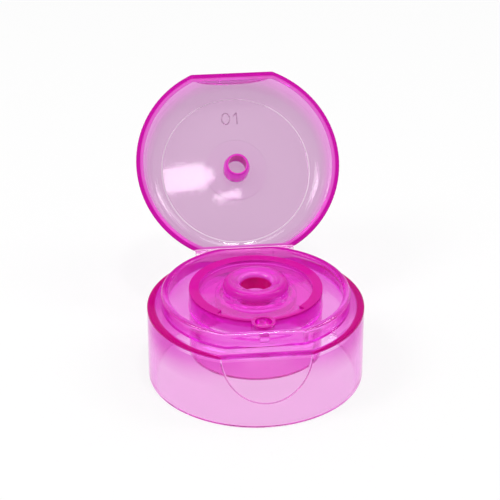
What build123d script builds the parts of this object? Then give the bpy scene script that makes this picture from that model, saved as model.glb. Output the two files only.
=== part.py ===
from build123d import *
from math import radians, tan
import os

# Flip top cap: a moulded screw cap with a hinged lid, standing with its lid open
# Driving dimensions, in millimetres and degrees

# Outer skirt and its top
skirt_radius = 21.5
skirt_height = 15.5
skirt_wall = 1.3
deck_thickness = 1.3
skirt_edge_round = 0.35

# Raised ring that the lid closes over
ledge_width = 2.8
ring_wall = 1.4
ring_height = 3.1
ring_flat_inset = 1.6
ring_corner_round = 3.0
ring_edge_round = 0.65

# Neck that screws on the bottle
neck_bore_radius = 12.1
neck_wall = 1.1
neck_recess = 6.0
seal_land_step = 0.5
seal_land_height = 2.6
seal_ring_radius = 8.1
seal_ring_wall = 0.9
seal_ring_length = 2.2

# Dished top of the neck, a little above the ring
drum_rise = 0.45
top_plate = 1.3
dish_depth = 0.6
rim_width = 2.0
thin_rim_width = 0.6
thin_rim_angle = 85

# Nozzle and orifice
nozzle_radius = 6.5
nozzle_wall = 1.3
nozzle_height = 1.8
nozzle_round = 1.6
orifice_radius = 2.92
orifice_wall = 0.9
orifice_round = 1.2
funnel_depth = 0.35

# Gate well at the front of the neck's top, on a rib that stands on the deck
gate_well_radius = 1.7
gate_well_wall = 0.6
gate_well_overhang = 0.3
gate_nub_radius = 0.4
gate_nub_height = 0.9
gate_rib_width = 1.7
gate_rib_reach = 2.0

# Thumb scoop at the front of skirt and lid
scoop_depth = 1.95
scoop_reach = 9.95

# Living hinge
hinge_set_back = 3.0
film_length = 3.16
film_thickness = 0.35
film_width = 20.4
open_angle = 131.35
pocket_slope_angle = 45
pocket_clearance = 1.0

# Lid
lid_step = 0.05
lid_wall = 1.5
lid_draft_angle = 14
lid_plate = 1.3
lid_shoulder = 5.0
lid_edge_round = 0.25
hinge_wall = 0.5
lid_headroom = 1.35
closing_gap = 0.1
ring_clearance = 0.15
plug_wall = 0.8
plug_clearance = 0.17
plug_engagement = 3.0
plug_taper = 0.45
plug_taper_length = 1.8
pad_radius = 6.6
pad_height = 0.2
gusset_width = 0.9
gusset_reach = 2.4

# Levels along the axis, from the neck's mouth up
neck_mouth = 0
skirt_bottom = neck_mouth - neck_recess
ledge = skirt_bottom + skirt_height
ring_top = ledge + ring_height
drum_top = ring_top + drum_rise
dish_floor = drum_top - dish_depth
plate_underside = dish_floor - top_plate
seal_land_bottom = plate_underside - seal_land_height
seal_ring_tip = plate_underside - seal_ring_length
nozzle_top = drum_top + nozzle_height
orifice_edge = nozzle_top - funnel_depth
nozzle_underside = orifice_edge - nozzle_wall

# Radii and distances from the axis
drum_radius = neck_bore_radius + neck_wall
drum_inner = drum_radius - rim_width
seal_land_radius = neck_bore_radius - seal_land_step
seal_ring_inner = seal_ring_radius - seal_ring_wall
nozzle_bore = nozzle_radius - nozzle_wall
orifice_outside = orifice_radius + orifice_wall
ring_radius = skirt_radius - ledge_width
ring_front_flat = ring_radius - ring_flat_inset
hinge_edge = skirt_radius - hinge_set_back
ring_back_flat = hinge_edge - hinge_wall - ring_clearance
gate_distance = drum_radius + gate_well_overhang

# Lid sizes, with heights above the parting plane, which lies at the ledge
lid_radius = skirt_radius - lid_step
lid_inner_radius = lid_radius - lid_wall
lid_depth = nozzle_top - ledge + lid_headroom
lid_height = lid_depth + lid_plate
lid_inner_shoulder = lid_shoulder - lid_wall
lid_draft = tan(radians(lid_draft_angle))
plug_tip = orifice_edge - ledge - plug_engagement
plug_radius = orifice_radius - plug_clearance

# Hinge axis, halfway along the flat film, and the planes of the lid as it stands open
hinge_axis = Axis((0, hinge_edge + film_length / 2, ledge), (-1, 0, 0))
hinge_turn = Axis((0, 0, 0), hinge_axis.direction)
hinge_arm = Vector(0, -hinge_axis.position.Y, 0)
lid_plane = Plane(
    origin=hinge_axis.position + hinge_arm.rotate(hinge_turn, open_angle),
    x_dir=(1, 0, 0),
    z_dir=Vector(0, 0, 1).rotate(hinge_turn, open_angle),
)
lid_section = Plane(lid_plane.origin, x_dir=lid_plane.x_dir, z_dir=-lid_plane.y_dir)
lid_side = Plane(lid_plane.origin, x_dir=lid_plane.y_dir, z_dir=lid_plane.x_dir)
lid_axis = Axis(lid_plane.origin, lid_plane.z_dir)

# Thumb scoop: part of a level cylinder whose axis lies in the parting plane
scoop_radius = (scoop_reach**2 + scoop_depth**2) / (2 * scoop_depth)
scoop_centre = scoop_depth - skirt_radius - scoop_radius

# Hinge pocket: a flat behind the film, sloping out to the skirt below the laid-back lid
pocket_floor = ledge - lid_height - pocket_clearance
pocket_outside = 2 * skirt_radius
pocket_drop = (pocket_outside - hinge_edge) * tan(radians(pocket_slope_angle))

with BuildSketch(Plane.YZ) as hinge_pocket:
    with BuildLine():
        Polyline(
            (hinge_edge, ring_top),
            (hinge_edge, pocket_floor),
            (pocket_outside, pocket_floor - pocket_drop),
            (pocket_outside, ring_top),
            close=True,
        )
    make_face()

with BuildSketch(Plane.YZ) as hinge_pocket_skin:
    add(hinge_pocket.sketch_local)
    offset(amount=skirt_wall, kind=Kind.INTERSECTION)

# Half section of the neck, its dished top, the nozzle, the orifice and the seal ring
with BuildSketch(Plane.XZ) as neck_section:
    with BuildLine():
        nozzle_edge = CenterArc(
            (nozzle_radius - nozzle_round, nozzle_top - nozzle_round), nozzle_round, 0, 90
        )
        orifice_lip = CenterArc(
            (orifice_radius + orifice_round, orifice_edge - orifice_round), orifice_round, 90, 90
        )
        Line(nozzle_edge @ 1, orifice_lip @ 0)
        Polyline(
            orifice_lip @ 1,
            (orifice_radius, plate_underside),
            (orifice_outside, plate_underside),
            (orifice_outside, nozzle_underside),
            (nozzle_bore, nozzle_underside),
            (nozzle_bore, plate_underside),
            (seal_ring_inner, plate_underside),
            (seal_ring_inner, seal_ring_tip),
            (seal_ring_radius, seal_ring_tip),
            (seal_ring_radius, plate_underside),
            (seal_land_radius, plate_underside),
            (seal_land_radius, seal_land_bottom),
            (neck_bore_radius, seal_land_bottom),
            (neck_bore_radius, neck_mouth),
            (drum_radius, neck_mouth),
            (drum_radius, drum_top),
            (drum_inner, drum_top),
            (drum_inner, dish_floor),
            (nozzle_radius, dish_floor),
            nozzle_edge @ 0,
        )
    make_face()

# Hollow of the skirt, which follows the scoop and the pocket at one wall's distance
with BuildPart() as skirt_hollow:
    with BuildSketch(Plane.XY.offset(skirt_bottom)):
        Circle(skirt_radius - skirt_wall)
    extrude(amount=skirt_height - deck_thickness)
    with BuildSketch(Plane.YZ):
        with Locations((scoop_centre, ledge)):
            Circle(scoop_radius + skirt_wall)
    extrude(amount=skirt_radius, both=True, mode=Mode.SUBTRACT)
    extrude(hinge_pocket_skin.sketch, amount=skirt_radius, both=True, mode=Mode.SUBTRACT)

# Base: skirt, ledge, ring, neck and nozzle
with BuildPart() as base:
    with BuildSketch(Plane.XZ) as skirt_section:
        with Locations((0, skirt_bottom)):
            Rectangle(skirt_radius, skirt_height, align=(Align.MIN, Align.MIN))
        fillet(skirt_section.vertices().group_by(Axis.X)[-1], skirt_edge_round)
    revolve(axis=Axis.Z)
    with BuildSketch(Plane.YZ):
        with Locations((scoop_centre, ledge)):
            Circle(scoop_radius)
    extrude(amount=skirt_radius, both=True, mode=Mode.SUBTRACT)
    extrude(hinge_pocket.sketch, amount=skirt_radius, both=True, mode=Mode.SUBTRACT)
    add(skirt_hollow.part, mode=Mode.SUBTRACT)
    with BuildSketch(Plane.XY.offset(ledge)):
        Circle(drum_radius - neck_wall / 2)
    extrude(amount=-deck_thickness, mode=Mode.SUBTRACT)

    # Raised ring with a flat at the front and one at the hinge
    with BuildSketch(Plane.XY.offset(ledge)) as ring_outline:
        Circle(ring_radius)
        with Locations((0, -ring_front_flat)):
            Rectangle(
                2 * ring_radius, ring_radius, align=(Align.CENTER, Align.MAX), mode=Mode.SUBTRACT
            )
        with Locations((0, ring_back_flat)):
            Rectangle(
                2 * ring_radius, ring_radius, align=(Align.CENTER, Align.MIN), mode=Mode.SUBTRACT
            )
        fillet(ring_outline.vertices(), ring_corner_round)
        offset(amount=-ring_wall, mode=Mode.SUBTRACT)
    extrude(amount=ring_height)
    fillet(base.faces().sort_by(Axis.Z)[-1].edges(), ring_edge_round)

    revolve(neck_section.sketch, axis=Axis.Z)

    # Thin stretch of the rim at the front
    with BuildSketch(Plane.XY.offset(dish_floor)):
        with BuildLine():
            thin_rim_start = -90 - thin_rim_angle / 2
            thin_rim_inside = CenterArc(
                (0, 0), drum_inner - rim_width, thin_rim_start, thin_rim_angle
            )
            thin_rim_outside = CenterArc(
                (0, 0), drum_radius - thin_rim_width, thin_rim_start, thin_rim_angle
            )
            Line(thin_rim_inside @ 0, thin_rim_outside @ 0)
            Line(thin_rim_inside @ 1, thin_rim_outside @ 1)
        make_face()
    extrude(amount=dish_depth, mode=Mode.SUBTRACT)

    # Gate well: a half-round cup between drum and ring, on a rib, with the gate's nub in it
    with Locations((0, -gate_distance, drum_top)):
        Sphere(
            gate_well_radius + gate_well_wall,
            arc_size2=0,
            align=(Align.CENTER, Align.CENTER, Align.MAX),
        )
        Sphere(gate_well_radius, mode=Mode.SUBTRACT)
    with BuildSketch(Plane.XY.offset(ledge)):
        with Locations((0, -drum_radius)):
            Rectangle(gate_rib_width, 2 * gate_rib_reach)
        Circle(drum_radius - neck_wall / 2, mode=Mode.SUBTRACT)
    extrude(amount=drum_top - ledge - gate_well_radius)
    with Locations((0, -gate_distance, drum_top - gate_well_radius - gate_well_wall / 2)):
        Cylinder(
            gate_nub_radius,
            gate_nub_height + gate_well_wall / 2,
            align=(Align.CENTER, Align.CENTER, Align.MIN),
        )

# Hollow of the lid, with the same scoop and hinge flat at the wall's distance
with BuildPart() as lid_hollow:
    with BuildSketch(lid_section) as hollow_section:
        with BuildLine():
            Polyline(
                (0, 0),
                (lid_inner_radius, 0),
                (lid_inner_radius - lid_depth * lid_draft, lid_depth),
                (0, lid_depth),
                close=True,
            )
        make_face()
        fillet(hollow_section.vertices().sort_by(Axis.X)[-2], lid_inner_shoulder)
    revolve(axis=lid_axis)
    with BuildSketch(lid_side):
        with Locations((scoop_centre + lid_step, 0)):
            Circle(scoop_radius + lid_wall)
    extrude(amount=lid_radius, both=True, mode=Mode.SUBTRACT)
    with BuildSketch(lid_plane):
        with Locations((0, hinge_edge - hinge_wall)):
            Rectangle(2 * lid_radius, lid_radius, align=(Align.CENTER, Align.MIN))
    extrude(amount=lid_height, mode=Mode.SUBTRACT)

# Lid: a shallow cup, turned back on its hinge
with BuildPart() as lid:
    with BuildSketch(lid_section) as lid_outline:
        with BuildLine():
            Polyline(
                (0, closing_gap),
                (lid_radius, closing_gap),
                (lid_radius - lid_height * lid_draft, lid_height),
                (0, lid_height),
                close=True,
            )
        make_face()
        fillet(lid_outline.vertices().sort_by(Axis.X)[-2], lid_shoulder)
        fillet(lid_outline.vertices().sort_by(Axis.X)[-1], lid_edge_round)
    revolve(axis=lid_axis)
    with BuildSketch(lid_side):
        with Locations((scoop_centre + lid_step, 0)):
            Circle(scoop_radius)
    extrude(amount=lid_radius, both=True, mode=Mode.SUBTRACT)
    with BuildSketch(lid_plane):
        with Locations((0, hinge_edge)):
            Rectangle(2 * lid_radius, lid_radius, align=(Align.CENTER, Align.MIN))
    extrude(amount=lid_height, mode=Mode.SUBTRACT)
    add(lid_hollow.part, mode=Mode.SUBTRACT)

    # Closing plug on its round pad
    with BuildSketch(lid_section):
        with BuildLine():
            Polyline(
                (plug_radius - plug_wall, plug_tip),
                (plug_radius - plug_taper, plug_tip),
                (plug_radius, plug_tip + plug_taper_length),
                (plug_radius, lid_depth - pad_height),
                (pad_radius, lid_depth - pad_height),
                (pad_radius, lid_depth + lid_plate / 2),
                (plug_radius - plug_wall, lid_depth + lid_plate / 2),
                close=True,
            )
        make_face()
    revolve(axis=lid_axis)

    # Gusset between plate and hinge wall, above the ring when the lid is shut
    with BuildSketch(lid_side):
        with BuildLine():
            Polyline(
                (hinge_edge - hinge_wall / 2, ring_height + ring_clearance),
                (hinge_edge - hinge_wall / 2, lid_depth + lid_plate / 2),
                (hinge_edge - hinge_wall - gusset_reach, lid_depth + lid_plate / 2),
                close=True,
            )
        make_face()
    extrude(amount=gusset_width / 2, both=True)

# Hinge film: one even bend from the skirt's edge up to the lid's edge
film_bend_angle = 180 - open_angle
film_bend_radius = film_length / 2 * tan(radians(open_angle / 2))

with BuildPart() as hinge_film:
    with BuildSketch(Plane.YZ):
        with BuildLine():
            bend_centre = (hinge_edge, ledge + film_bend_radius)
            upper_side = CenterArc(bend_centre, film_bend_radius, -90, film_bend_angle)
            lower_side = CenterArc(
                bend_centre, film_bend_radius + film_thickness, -90, film_bend_angle
            )
            Line(upper_side @ 0, lower_side @ 0)
            Line(upper_side @ 1, lower_side @ 1)
        make_face()
    extrude(amount=film_width / 2, both=True)

base.part.label = "base"
lid.part.label = "lid"
hinge_film.part.label = "hinge_film"

os.makedirs("parts", exist_ok=True)
export_step(base.part, "parts/base.step")
export_step(lid.part, "parts/lid.step")
export_step(hinge_film.part, "parts/hinge_film.step")
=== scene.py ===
import math

import bpy
import numpy as np
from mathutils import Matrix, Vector


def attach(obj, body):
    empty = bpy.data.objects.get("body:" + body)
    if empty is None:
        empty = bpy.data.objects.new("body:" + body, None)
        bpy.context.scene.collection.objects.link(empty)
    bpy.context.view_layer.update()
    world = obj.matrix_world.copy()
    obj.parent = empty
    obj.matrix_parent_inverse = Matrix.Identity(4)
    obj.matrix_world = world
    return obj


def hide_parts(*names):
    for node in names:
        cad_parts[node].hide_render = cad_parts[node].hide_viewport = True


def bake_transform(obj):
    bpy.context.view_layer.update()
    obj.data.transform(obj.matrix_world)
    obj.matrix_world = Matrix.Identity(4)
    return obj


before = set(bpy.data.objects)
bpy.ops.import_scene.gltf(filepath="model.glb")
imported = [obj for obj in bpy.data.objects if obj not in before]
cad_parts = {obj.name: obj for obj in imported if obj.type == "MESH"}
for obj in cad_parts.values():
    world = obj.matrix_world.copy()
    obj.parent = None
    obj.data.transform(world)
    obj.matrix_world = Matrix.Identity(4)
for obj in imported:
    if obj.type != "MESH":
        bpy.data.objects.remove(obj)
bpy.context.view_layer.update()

# Sizes of the cap that the added pieces lean on, in metres, in the frame of the solids
MM = 0.001
LEDGE = 9.5 * MM
SKIRT_BOTTOM = -6.0 * MM
SKIRT_RADIUS = 21.5 * MM
SCOOP_DEPTH = 1.95 * MM
SCOOP_REACH = 9.95 * MM
NECK_BORE = 12.1 * MM
ORIFICE = 2.92 * MM
GATE = 13.5 * MM
HINGE_EDGE = 18.5 * MM
FILM_LENGTH = 3.16 * MM
FILM_WIDTH = 20.4 * MM
FILM_THICKNESS = 0.35 * MM
OPEN_ANGLE = math.radians(131.35)
LID_DEPTH = 6.7 * MM
WIRE_SIDES = 10

# The open lid's own plane: across, towards the hinge, and up from the rim to the plate
HINGE_AXIS = np.array([0.0, HINGE_EDGE + FILM_LENGTH / 2, LEDGE])
LID_ACROSS = np.array([1.0, 0.0, 0.0])
LID_BACK = np.array([0.0, math.cos(OPEN_ANGLE), -math.sin(OPEN_ANGLE)])
LID_UP = np.array([0.0, math.sin(OPEN_ANGLE), math.cos(OPEN_ANGLE)])
LID_CENTRE = HINGE_AXIS - HINGE_AXIS[1] * LID_BACK

# Dye of the plastic: what is left of red, green and blue, and its strength per metre
MAGENTA = (0.998, 0.0, 0.98, 1.0)
DYE = 220.0
IOR = 1.49

# Scales of the finish: a fine orange peel, soft clouds, and the rings in which the melt flowed
PEEL_SCALE = 900.0
CLOUD_SCALE = 120.0
FLOW_SCALE = 55.0

# The faint cloud in all of the plastic, and the shine on its cloudy share
FAINT_CLOUD = 0.004
CLOUDY_SHINE = 0.02

# Colours of the clear plastic, from thin walls to thick ones, with painted shade on the skirt, the plate and
# in the bore
PALE = (0.93, 0.685, 0.86, 1.0)
# The plate's colour is greyed a little: painted shade that dims the lid
PLATE = (0.86, 0.72, 0.82, 1.0)
WALL = (0.9, 0.57, 0.84, 1.0)
DECK = (0.96, 0.68, 0.92, 1.0)
FRONT = (1.0, 0.94, 0.99, 1.0)
# The next two are painted shade on the skirt below the ledge, deepest at left and right
SKIRT_TOP_PAINTED_SHADE = (0.82, 0.12, 0.74, 1.0)
SKIRT_SIDE_PAINTED_SHADE = (0.74, 0.035, 0.62, 1.0)
RING = (0.95, 0.42, 0.86, 1.0)
RING_SIDE = (0.9, 0.25, 0.8, 1.0)
RING_FRONT = (0.9, 0.2, 0.8, 1.0)
NECK = (1.0, 0.4, 0.88, 1.0)
NECK_HIGH = (1.0, 0.66, 0.94, 1.0)
DRUM = (0.92, 0.13, 0.8, 1.0)
PLUG = (0.97, 0.15, 0.86, 1.0)
LID_RIM = (0.88, 0.08, 0.8, 1.0)
RIM = (0.92, 0.08, 0.75, 1.0)
THICK = (0.9, 0.1, 0.75, 1.0)
# Painted shade: the orifice's bore is dark red, as if in shadow
BORE = (0.6, 0.003, 0.14, 1.0)

# Colours of the light that the plastic throws back where it is cloudy, with painted shade and a painted
# highlight among them
MILKY = (0.8, 0.03, 0.52, 1.0)
DISH_MILK = (0.76, 0.045, 0.57, 1.0)
NOZZLE_MILK = (0.68, 0.008, 0.42, 1.0)
RIM_MILK = (0.63, 0.004, 0.31, 1.0)
RING_MILK = (0.62, 0.012, 0.42, 1.0)
EDGE_MILK = (0.54, 0.001, 0.205, 1.0)
# Painted shade in the orifice's bore
BORE_PAINTED_SHADE_MILK = (0.75, 0.002, 0.2, 1.0)
THREAD_MILK = (0.95, 0.5, 0.88, 1.0)
LID_MILK = (0.74, 0.17, 0.6, 1.0)
LID_EDGE_MILK = (0.55, 0.006, 0.35, 1.0)
# Painted highlight on the plate's fine circle
PAINTED_HIGHLIGHT_LINE = (0.95, 0.86, 0.93, 1.0)
# Painted shade: grey that dims the lid's plate
PLATE_PAINTED_SHADE = (0.35, 0.265, 0.33, 1.0)

# Colours of the floor and the light level of the room
WHITE = (1.0, 1.0, 1.0, 1.0)
FLOOR_DARK = (0.95, 0.95, 0.95, 1.0)
FLOOR_LIGHT = (0.97, 0.97, 0.97, 1.0)
FLOOR_SCALE = 60.0
FLOOR_GLOW = 0.8
ROOM_LIGHT = 0.55


# Meshes
def new_piece(name, points, faces, material):
    """A smooth object at the origin from an array of points and a list of faces."""
    mesh = bpy.data.meshes.new(name)
    mesh.from_pydata(points.tolist(), [], faces)
    mesh.polygons.foreach_set("use_smooth", [True] * len(mesh.polygons))
    mesh.materials.append(material)
    mesh.update()
    piece = bpy.data.objects.new(name, mesh)
    bpy.context.scene.collection.objects.link(piece)
    return piece


def tube_faces(stations, around, first=0, loop=False):
    """Faces of a tube of closed profiles: quads from each profile to the next.

    A loop's last profile joins its first. Any other tube has one face over each end.
    """
    i, j = np.meshgrid(np.arange(stations if loop else stations - 1), np.arange(around), indexing="ij")
    k, n = (j + 1) % around, (i + 1) % stations
    quads = np.stack([i * around + j, i * around + k, n * around + k, n * around + j], -1)
    faces = (quads.reshape(-1, 4) + first).tolist()
    if not loop:
        ring = np.arange(around) + first
        faces += [ring[::-1].tolist(), (ring + (stations - 1) * around).tolist()]
    return faces


def wire_points(path, up, radius, loop=False):
    """A round wire along a path: path + radius * (cos(t) * across + sin(t) * up).

    The way across is at right angles to the path and to the way up.
    """
    along = np.roll(path, -1, 0) - np.roll(path, 1, 0) if loop else np.gradient(path, axis=0)
    across = np.cross(up, along)
    across /= np.linalg.norm(across, axis=1, keepdims=True)
    t = np.linspace(0, 2 * np.pi, WIRE_SIDES, endpoint=False)[None, :, None]
    return (path[:, None] + radius * (np.cos(t) * across[:, None] + np.sin(t) * up[:, None])).reshape(-1, 3)


# Shader maths
def named(sockets, name):
    """The first of a node's sockets with this identifier or name."""
    return next(s for s in sockets if name in (s.identifier, s.name))


class Value:
    """A socket in a node tree. Arithmetic on it adds Math nodes, and node() adds any other node."""

    def __init__(self, tree, socket=None):
        self.tree = tree
        self.socket = socket

    def node(self, kind, settings=(), inputs=(), out=None):
        """Adds a node: its settings first, then the values or links of its sockets.

        Gives the output with the name asked for, or else the first one, if the node has any.
        """
        made = self.tree.nodes.new(kind)
        for key, value in dict(settings).items():
            setattr(made, key, value)
        for key, value in dict(inputs).items():
            socket = named(made.inputs, key)
            if isinstance(value, Value):
                self.tree.links.new(value.socket, socket)
            else:
                socket.default_value = value
        if out:
            return Value(self.tree, named(made.outputs, out))
        return Value(self.tree, made.outputs[0] if made.outputs else None)

    def ramp(self, start, end):
        """0 at the start and 1 at the end, and held beyond them."""
        reach = {"Value": self, "From Min": start, "From Max": end}
        return self.node("ShaderNodeMapRange", {}, reach, "Result")

    def blend(self, share, first, second):
        """A colour between two."""
        colours = {"Factor_Float": share, "A_Color": first, "B_Color": second}
        return self.node("ShaderNodeMix", {"data_type": "RGBA"}, colours, "Result_Color")

    def between(self, share, first, second):
        """A number between two."""
        numbers = {"Factor_Float": share, "A_Float": first, "B_Float": second}
        return self.node("ShaderNodeMix", {"data_type": "FLOAT"}, numbers, "Result_Float")

    def noise(self, place, scale, detail):
        """Soft noise over a place."""
        grain = {"Vector": place, "Scale": scale, "Detail": detail}
        return self.node("ShaderNodeTexNoise", {}, grain, "Fac")

    def along(self, way):
        """How far a place lies along a way of length 1."""
        vectors = {"Vector": self, "Vector_001": way}
        return self.node("ShaderNodeVectorMath", {"operation": "DOT_PRODUCT"}, vectors, "Value")

    def maths(self, operation, first, second):
        return self.node("ShaderNodeMath", {"operation": operation}, {"Value": first, "Value_001": second})

    def larger(self, other):
        return self.maths("MAXIMUM", self, other)

    def __add__(self, other):
        return self.maths("ADD", self, other)

    __radd__ = __add__

    def __sub__(self, other):
        return self.maths("SUBTRACT", self, other)

    def __rsub__(self, other):
        return self.maths("SUBTRACT", other, self)

    def __mul__(self, other):
        return self.maths("MULTIPLY", self, other)

    __rmul__ = __mul__

    def __pow__(self, other):
        return self.maths("POWER", self, other)


def bare_material(name):
    """A material with an empty node tree, and the tree's starting point."""
    material = bpy.data.materials.new(name)
    material.use_nodes = True
    material.node_tree.nodes.clear()
    return material, Value(material.node_tree)


# Clear plastic
def tinted_plastic(name, tint, gloss, haze, zones):
    """Clear plastic with dye in it: a wall darkens with the way that light goes through it.

    tint is the colour of the surface, and zones are the places where thick plastic is deeper and cloudier,
    and those of painted shade and of a painted highlight.
    A zone has how far a spot lies in it, from 0 to 1, the clear colour there, the cloudy one, and how
    cloudy it is. A later zone lies over the earlier ones.
    Only the side that faces the air is cloudy, so light is led on inside the walls.
    The gloss is broken by marks of the melt's flow, which spreads in rings, and by a fine orange peel.
    """
    material, start = bare_material(name)
    place = start.node("ShaderNodeTexCoord", out="Object")
    peel = start.noise(place, PEEL_SCALE, 3.0)
    cloud = start.noise(place, CLOUD_SCALE, 2.0)
    flow = start.node(
        "ShaderNodeTexWave",
        {"wave_type": "RINGS", "rings_direction": "SPHERICAL"},
        {"Vector": place, "Scale": FLOW_SCALE, "Distortion": 6.0, "Detail": 2.0, "Detail Scale": 1.5},
        "Fac",
    )
    colour, milk_colour, milk = tint, MILKY, FAINT_CLOUD * cloud
    for inside, colour_here, milk_here, share in zones(place):
        colour = start.blend(inside, colour, colour_here)
        milk_colour = start.blend(inside, milk_colour, milk_here)
        milk = start.between(inside, milk, share)
    milk = milk * (1 - start.node("ShaderNodeNewGeometry", out="Backfacing"))
    roughness = gloss + haze * cloud + 0.3 * haze * flow
    grain = peel * 0.5 + cloud
    relief = {"Strength": 0.04, "Distance": 0.1 * MM, "Height": grain}
    bump = start.node("ShaderNodeBump", {}, relief, "Normal")
    finish = {"Roughness": roughness, "IOR": IOR, "Normal": bump}
    through = {"Base Color": colour, "Transmission Weight": 1.0, **finish}
    clear = start.node("ShaderNodeBsdfPrincipled", {}, through)
    thrown_back = {"Base Color": milk_colour, "Specular IOR Level": CLOUDY_SHINE, **finish}
    cloudy = start.node("ShaderNodeBsdfPrincipled", {}, thrown_back)
    surface = start.node("ShaderNodeMixShader", {}, {"Fac": milk, "Shader": clear, "Shader_001": cloudy})
    volume = start.node("ShaderNodeVolumeAbsorption", {}, {"Color": MAGENTA, "Density": DYE})
    start.node("ShaderNodeOutputMaterial", {}, {"Surface": surface, "Volume": volume})
    return material


# Zones of thick and cloudy plastic
def base_zones(place):
    """Zones of the base, by the height z and the distance from the axis, root of x * x + y * y.

    Both are in millimetres.
    """
    x, y, z = (place.along(way) * (1 / MM) for way in np.eye(3))
    radius = (x * x + y * y) ** 0.5
    ledge = LEDGE / MM
    orifice = ORIFICE / MM

    # Heights and sides
    deck_up = z.ramp(8.0, 8.1)
    ledge_level = z.ramp(ledge - 0.8, ledge - 0.5) * z.ramp(ledge + 0.15, ledge + 0.05)
    ledge_up = z.ramp(ledge - 0.1, ledge)
    above = z.ramp(ledge + 0.05, ledge + 0.6)
    left_and_right = (x * x).ramp(6.0**2, 19.0**2)
    halfway_back = (y * y).ramp(13.0**2, 5.0**2)

    # Skirt, with painted shade that deepens it towards the ledge and most at left and right, deck and ledge,
    # which shows a crescent on each side
    skirt = radius.ramp(19.9, 20.4)
    # Painted shade: the skirt is darker towards the ledge and at left and right
    skirt_top_painted_shade = skirt * z.ramp(4.0, ledge) ** 1.5
    skirt_side_painted_shade = skirt * left_and_right * z.ramp(2.0, 7.0)
    deck = radius.ramp(20.2, 20.0) * deck_up
    front = y.ramp(-13.0, -16.0) * deck_up
    front_edge = y.ramp(-18.9, -19.1) * ledge_level
    crescent = (radius - 0.0037 * y * y).ramp(19.8, 20.1) * ledge_level

    # Raised ring
    ring_wall = radius.ramp(17.2, 17.4) * above
    ring = radius.ramp(16.6, 16.9).larger(y.ramp(15.2, 15.3)) * above
    ring_back = ring * y.ramp(2.0, 11.0)
    ring_back_edge = ring * y.ramp(-3.0, 3.0) * z.ramp(12.40, 12.52)
    ring_side = radius.ramp(18.5, 18.6) * halfway_back * ledge_up

    # Neck, its dished top, the nozzle and the gate well
    neck = radius.ramp(13.4, 13.3)
    neck_front = neck * z.ramp(4.0, 5.0) * y.ramp(-6.0, -9.0)
    rim = neck * z.ramp(12.3, 12.8)
    top = neck * z.ramp(10.5, 12.0)
    dish = top * radius.ramp(11.3, 11.1)
    nozzle_foot = top * radius.ramp(7.4, 7.2) * z.ramp(13.4, 13.1)
    nozzle_edge = top * radius.ramp(6.7, 6.5) * z.ramp(13.3, 13.8)
    funnel = top * radius.ramp(5.7, 5.1)
    # Painted shade: the orifice's bore is a dark red, partly cloudy wall
    bore = radius.ramp(orifice + 0.1, orifice)
    from_gate = y + GATE / MM
    gate = ((x * x + from_gate * from_gate) ** 0.5).ramp(2.45, 2.35) * z.ramp(10.8, 11.0)
    return (
        (skirt_top_painted_shade, SKIRT_TOP_PAINTED_SHADE, MILKY, 0.02),
        (skirt_side_painted_shade, SKIRT_SIDE_PAINTED_SHADE, MILKY, 0.1),
        (deck, DECK, MILKY, 0.0),
        (ring_wall, RING, MILKY, 0.0),
        (front, FRONT, MILKY, 0.0),
        (ring_back, RING, MILKY, 0.55),
        (ring_back_edge, RIM, LID_EDGE_MILK, 0.93),
        (ring_side, RING_SIDE, RING_MILK, 0.4),
        (front_edge, RING_FRONT, RING_MILK, 0.55),
        (crescent, THICK, EDGE_MILK, 0.97),
        (neck, NECK, MILKY, 0.12),
        (neck_front, NECK_HIGH, MILKY, 0.04),
        (neck * above, DRUM, MILKY, 0.47),
        (rim, RIM, RIM_MILK, 0.88),
        (dish, NECK, DISH_MILK, 0.37),
        (nozzle_foot, NECK_HIGH, DISH_MILK, 0.25),
        (nozzle_edge, RIM, NOZZLE_MILK, 0.84),
        (funnel, NECK, DISH_MILK, 0.42),
        (gate, RIM, RIM_MILK, 0.5),
        (bore, BORE, BORE_PAINTED_SHADE_MILK, 0.6),
    )


def lid_zones(place):
    """Zones of the lid, by the height over its rim and the distance from its axis, in millimetres.

    Both are measured in the open lid's own plane.
    """
    ends = {"Vector": place, "Vector_001": LID_CENTRE}
    offset = place.node("ShaderNodeVectorMath", {"operation": "SUBTRACT"}, ends, "Vector")
    across, back, height = (offset.along(way) * (1 / MM) for way in (LID_ACROSS, LID_BACK, LID_UP))
    radius = (across * across + back * back) ** 0.5
    depth = LID_DEPTH / MM

    # The inner face is nearer than the outer one to the middle of the shoulder's bend
    past_bend = (radius - 15.7).larger(0.0)
    over_bend = (height - 3.0).larger(0.0)
    inner_face = ((past_bend * past_bend + over_bend * over_bend) ** 0.5).ramp(4.4, 4.1)

    wall = height.ramp(depth - 1.0, 0.5)
    rim = height.ramp(0.5, 0.2)
    outer_rim = rim * radius.ramp(20.3, 20.6).larger(back.ramp(-18.4, -18.7))
    plug = radius.ramp(3.0, 2.9) * height.ramp(depth - 0.2, depth - 0.8)
    plug_tip = plug * height.ramp(2.7, 2.3)
    plug_inside = plug * radius.ramp(2.2, 2.05)
    # Painted highlight: a pale cloudy band along the fine circle at the edge of the flat plate
    line = radius.ramp(15.60, 15.66) * radius.ramp(15.90, 15.84)
    line = line * height.ramp(depth - 0.2, depth - 0.1) * height.ramp(7.0, 6.9)
    return (
        # Painted shade: a grey cloud on the plate's inner face dims the plate
        (inner_face, PLATE, PLATE_PAINTED_SHADE, 0.4),
        (wall, WALL, MILKY, 0.08),
        (rim, LID_RIM, LID_MILK, 0.6),
        (outer_rim, LID_RIM, LID_EDGE_MILK, 0.96),
        (plug, PLUG, MILKY, 0.5),
        (plug_tip, PLUG, RING_MILK, 0.75),
        (plug_inside, PLUG, MILKY, 0.85),
        (line, PLATE, PAINTED_HIGHLIGHT_LINE, 0.6),
    )


def thread_zones(place):
    """The thread is cloudy all over."""
    return ((1.0, NECK_HIGH, THREAD_MILK, 0.3),)


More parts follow.
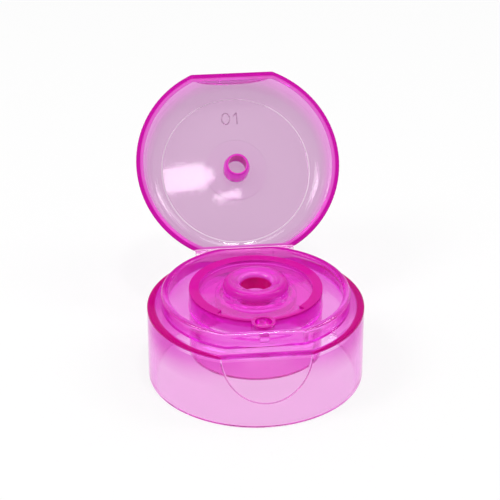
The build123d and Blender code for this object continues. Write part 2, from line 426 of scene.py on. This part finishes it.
def film_zones(place):
    """The film is thin all over."""
    return ()


base_plastic = tinted_plastic("magenta_polypropylene", PALE, 0.03, 0.06, base_zones)
lid_plastic = tinted_plastic("magenta_polypropylene_lid", PLATE, 0.012, 0.024, lid_zones)
thread_plastic = tinted_plastic("magenta_polypropylene_thread", NECK_HIGH, 0.03, 0.06, thread_zones)
film_plastic = tinted_plastic("hinge_polypropylene", PALE, 0.06, 0.10, film_zones)
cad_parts["base"].data.materials[0] = base_plastic
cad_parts["lid"].data.materials[0] = lid_plastic


# Hinge film
def hinge_film():
    """A strip along an even bend from the base's edge to the lid's.

    Station s from 0 to 1 lies on an arc, centre + (radius + half the thickness) * (sin(a), -cos(a)), with
    a = s * bend.
    Each station carries a flat oval: |x / half the width| to the 8th + |y / half the thickness| to the 3.3rd
    is 1.
    Its thickness is 1 - 0.4 * sin(pi * s) squared of the film's, so it is thinnest halfway.
    """
    bend = math.pi - OPEN_ANGLE
    radius = FILM_LENGTH / 2 * math.tan(OPEN_ANGLE / 2)
    s = np.linspace(0, 1, 33)
    angle = s * bend
    outward = np.stack([np.zeros_like(s), np.sin(angle), -np.cos(angle)], -1)
    centre = np.array([0.0, HINGE_EDGE, LEDGE + radius])
    path = centre + (radius + FILM_THICKNESS / 2) * outward
    t = np.linspace(0, 2 * np.pi, 64, endpoint=False)
    u = np.sign(np.cos(t)) * np.abs(np.cos(t)) ** 0.25 * FILM_WIDTH / 2
    v = np.sign(np.sin(t)) * np.abs(np.sin(t)) ** 0.6 * FILM_THICKNESS / 2
    thin = 1 - 0.4 * np.sin(np.pi * s) ** 2
    shape = u[None, :, None] * LID_ACROSS + thin[:, None, None] * v[None, :, None] * outward[:, None]
    points = (path[:, None] + shape).reshape(-1, 3)
    piece = new_piece("hinge_strip", points, tube_faces(len(s), len(t)), film_plastic)
    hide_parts("hinge_film")
    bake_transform(piece)


# Screw thread in the neck
def neck_thread():
    """A ridge on a helix inside the neck: the bore's radius, turn a, height start + pitch * a / (2 pi).

    Its profile is half an ellipse that stands inwards. At both ends it runs out to a point, by the sine of
    the way to the end. It stops short of a full turn and leaves a gap at the front.
    """
    pitch, start = 3.18 * MM, 1.7 * MM
    ridge, half_width, off_bore = 0.7 * MM, 0.95 * MM, 0.01 * MM
    gap, run_out, least = 1.9, 0.45, 0.05
    a = np.linspace(gap / 2, 2 * np.pi - gap / 2, 180) - np.pi / 2
    inward = np.stack([-np.cos(a), -np.sin(a), np.zeros_like(a)], -1)
    path = -inward * (NECK_BORE - off_bore)
    path[:, 2] = start + pitch * (a - a[0]) / (2 * np.pi)
    t = np.linspace(0, np.pi, 17)
    u = np.sin(t) * ridge
    v = -np.cos(t) * half_width
    fade = np.sin(np.clip(np.minimum(a - a[0], a[-1] - a) / run_out, least, 1) * np.pi / 2)
    up = np.array([0.0, 0.0, 1.0])
    shape = u[None, :, None] * inward[:, None] + v[None, :, None] * up
    points = (path[:, None] + fade[:, None, None] * shape).reshape(-1, 3)
    piece = new_piece("neck_thread", points, tube_faces(len(a), len(t)), thread_plastic)
    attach(piece, "base")


# Cavity digits inside the lid
def lid_digits():
    """Two raised digits and a fine circle, of round wire half sunk in the plate.

    The nought is an ellipse, middle + (a * cos(t), b * sin(t)), and the circle radius * (cos(t), sin(t)).
    The one is an upright with a short flag, each start * (1 - s) + end * s. Lengths are in millimetres.
    """
    digit_wire, circle_wire, circle_radius = 0.13, 0.07, 15.75
    tip, corner, foot = np.array([0.22, -12.0]), np.array([0.98, -12.72]), np.array([0.98, -10.2])
    t = np.linspace(0, 2 * np.pi, 48, endpoint=False)
    nought = np.stack([-1.40 + 0.86 * np.cos(t), -11.48 + 1.25 * np.sin(t)], -1)
    s = np.linspace(0, 1, 25)[:, None]
    flag = tip * (1 - s) + corner * s
    upright = corner * (1 - s) + foot * s
    t = np.linspace(0, 2 * np.pi, 180, endpoint=False)
    circle = circle_radius * np.stack([np.cos(t), np.sin(t)], -1)
    strokes = (
        (nought, digit_wire, True),
        (flag, digit_wire, False),
        (upright, digit_wire, False),
        (circle, circle_wire, True),
    )
    points, faces = [], []
    for line, wire, loop in strokes:
        path = LID_CENTRE + MM * (line[:, :1] * LID_ACROSS + line[:, 1:] * LID_BACK) + LID_DEPTH * LID_UP
        faces += tube_faces(len(path), WIRE_SIDES, sum(len(p) for p in points), loop)
        points.append(wire_points(path, np.repeat(LID_UP[None], len(path), 0), wire * MM, loop))
    piece = new_piece("lid_digits", np.concatenate(points), faces, lid_plastic)
    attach(piece, "lid")


# Edge of the thumb scoop
def scoop_edge():
    """A fine rounded edge along the line where the skirt's cylinder meets the scoop's.

    For x across the scoop, y = -root(skirt^2 - x^2) and z = ledge - root(scoop^2 - (y - centre)^2).
    The wire lies inside the skirt by its own radius and stops just short of the scoop's corners.
    """
    wire, share_of_width = 0.1 * MM, 0.985
    scoop = (SCOOP_REACH**2 + SCOOP_DEPTH**2) / (2 * SCOOP_DEPTH)
    centre = SCOOP_DEPTH - SKIRT_RADIUS - scoop
    corner = (SKIRT_RADIUS**2 - (centre + scoop) ** 2) ** 0.5
    x = np.linspace(-share_of_width, share_of_width, 161) * corner
    y = -np.sqrt(SKIRT_RADIUS**2 - x**2)
    z = LEDGE - np.sqrt(np.maximum(scoop**2 - (y - centre) ** 2, 0))
    path = np.stack([x, y, z], -1)
    path[:, :2] *= 1 - wire / SKIRT_RADIUS
    outward = np.stack([x, y, np.zeros_like(x)], -1) / SKIRT_RADIUS
    points = wire_points(path, outward, wire)
    piece = new_piece("scoop_edge", points, tube_faces(len(path), WIRE_SIDES), base_plastic)
    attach(piece, "base")


hinge_film()
neck_thread()
lid_digits()
scoop_edge()


# Stage: pale floor, even white surroundings and soft lamps
def seen_directly(start):
    """1 for what the camera, a reflection or a look through the plastic meets, 0 for light on a surface."""
    camera, mirrored, through = (
        start.node("ShaderNodeLightPath", out=ray)
        for ray in ("Is Camera Ray", "Is Glossy Ray", "Is Transmission Ray")
    )
    return camera.larger(mirrored).larger(through)


def pale_floor():
    """A level disc just under the skirt: (r * cos(a), r * sin(a)), in rings from r = 20 mm to 3 m."""
    below_skirt = 0.02 * MM
    r = np.geomspace(0.02, 3.0, 24)
    a = np.linspace(0, 2 * np.pi, 64, endpoint=False)
    rings = np.stack([np.outer(r, np.cos(a)), np.outer(r, np.sin(a))], -1).reshape(-1, 2)
    flat = np.concatenate([[[0.0, 0.0]], rings])
    points = np.concatenate([flat, np.full((len(flat), 1), SKIRT_BOTTOM - below_skirt)], 1)
    n = len(a)
    j = np.arange(n)
    fan = np.stack([np.zeros(n, int), 1 + j, 1 + (j + 1) % n], -1)
    i, j = np.meshgrid(np.arange(len(r) - 1), np.arange(n), indexing="ij")
    near, far, k = 1 + i * n, 1 + (i + 1) * n, (j + 1) % n
    quads = np.stack([near + j, far + j, far + k, near + k], -1).reshape(-1, 4)

    material, start = bare_material("pale_floor")
    place = start.node("ShaderNodeTexCoord", out="Object")
    grain = start.noise(place, FLOOR_SCALE, 2.0)
    matt = start.node("ShaderNodeBsdfDiffuse", {}, {"Color": start.blend(grain, FLOOR_DARK, FLOOR_LIGHT)})
    white = start.node("ShaderNodeEmission", {}, {"Color": WHITE, "Strength": 1.0})
    glow = FLOOR_GLOW * seen_directly(start)
    both = start.node("ShaderNodeMixShader", {}, {"Fac": glow, "Shader": matt, "Shader_001": white})
    start.node("ShaderNodeOutputMaterial", {}, {"Surface": both})
    floor = new_piece("floor", points, fan.tolist() + quads.tolist(), material)


def surroundings():
    """Even white all round."""
    world = bpy.data.worlds.new("white_room")
    world.use_nodes = True
    world.node_tree.nodes.clear()
    start = Value(world.node_tree)
    strength = ROOM_LIGHT + (1 - ROOM_LIGHT) * seen_directly(start)
    glow = start.node("ShaderNodeBackground", {}, {"Color": WHITE, "Strength": strength})
    start.node("ShaderNodeOutputWorld", {}, {"Surface": glow})
    bpy.context.scene.world = world


def soft_lamp(name, place, target, width, height, power, glint=False):
    """A rectangular lamp at a place, turned to a target. A glint is only seen in what shines."""
    light = bpy.data.lights.new(name, "AREA")
    light.shape = "RECTANGLE"
    light.size = width
    light.size_y = height
    light.energy = power
    lamp = bpy.data.objects.new(name, light)
    lamp.location = place
    lamp.rotation_mode = "QUATERNION"
    lamp.rotation_quaternion = (Vector(target) - Vector(place)).to_track_quat("-Z", "Y")
    lamp.visible_diffuse = lamp.visible_transmission = not glint
    bpy.context.scene.collection.objects.link(lamp)


pale_floor()
surroundings()

# A window whose image lies on the lid's plate
soft_lamp("window_pane", (0.0202, -0.2373, 0.4356), (-0.0100, 0.0376, 0.0192), 0.0206, 0.0118, 0.0087)
soft_lamp("window_side", (0.0321, -0.2365, 0.4361), (-0.0052, 0.0364, 0.0179), 0.0036, 0.0060, 0.0008)
soft_lamp("window_sill", (0.0402, -0.2441, 0.4290), (-0.0019, 0.0352, 0.0165), 0.0120, 0.0028, 0.0013)

# Lamps around the cap
CAP_MIDDLE = (0, 0, 0.01)
soft_lamp("top_lamp", (0.05, -0.12, 0.55), CAP_MIDDLE, 0.06, 0.06, 0.6)
soft_lamp("left_lamp", (-0.40, -0.12, 0.54), CAP_MIDDLE, 0.2, 0.3, 1.3)
soft_lamp("right_lamp", (0.40, -0.04, 0.54), CAP_MIDDLE, 0.2, 0.3, 0.7)
soft_lamp("left_glint", (-0.50, 0.04, 0.47), CAP_MIDDLE, 0.16, 0.2, 1.0, glint=True)
soft_lamp("right_glint", (0.53, 0.10, 0.43), CAP_MIDDLE, 0.16, 0.2, 1.0, glint=True)
soft_lamp("top_glint", (0.05, 0.02, 0.55), CAP_MIDDLE, 0.12, 0.3, 0.6, glint=True)

# Camera at the photo's viewing angle
CAMERA_PLACE = (-0.03642, -0.32487, 0.19695)
CAMERA_WAY = (0.09513, 0.87578, -0.47324)
lens = bpy.data.cameras.new("camera")
lens.lens = 136.99
lens.sensor_width = 36.0
lens.clip_start = 0.01
camera = bpy.data.objects.new("camera", lens)
camera.location = CAMERA_PLACE
camera.rotation_mode = "QUATERNION"
camera.rotation_quaternion = Vector(CAMERA_WAY).to_track_quat("-Z", "Y")
bpy.context.scene.collection.objects.link(camera)
bpy.context.scene.camera = camera

# Light that is led along inside a wall is reflected many times before it comes out
BOUNCES = 96
scene = bpy.context.scene
scene.view_settings.view_transform = "Standard"
scene.cycles.max_bounces = BOUNCES
scene.cycles.transmission_bounces = BOUNCES
scene.cycles.glossy_bounces = BOUNCES
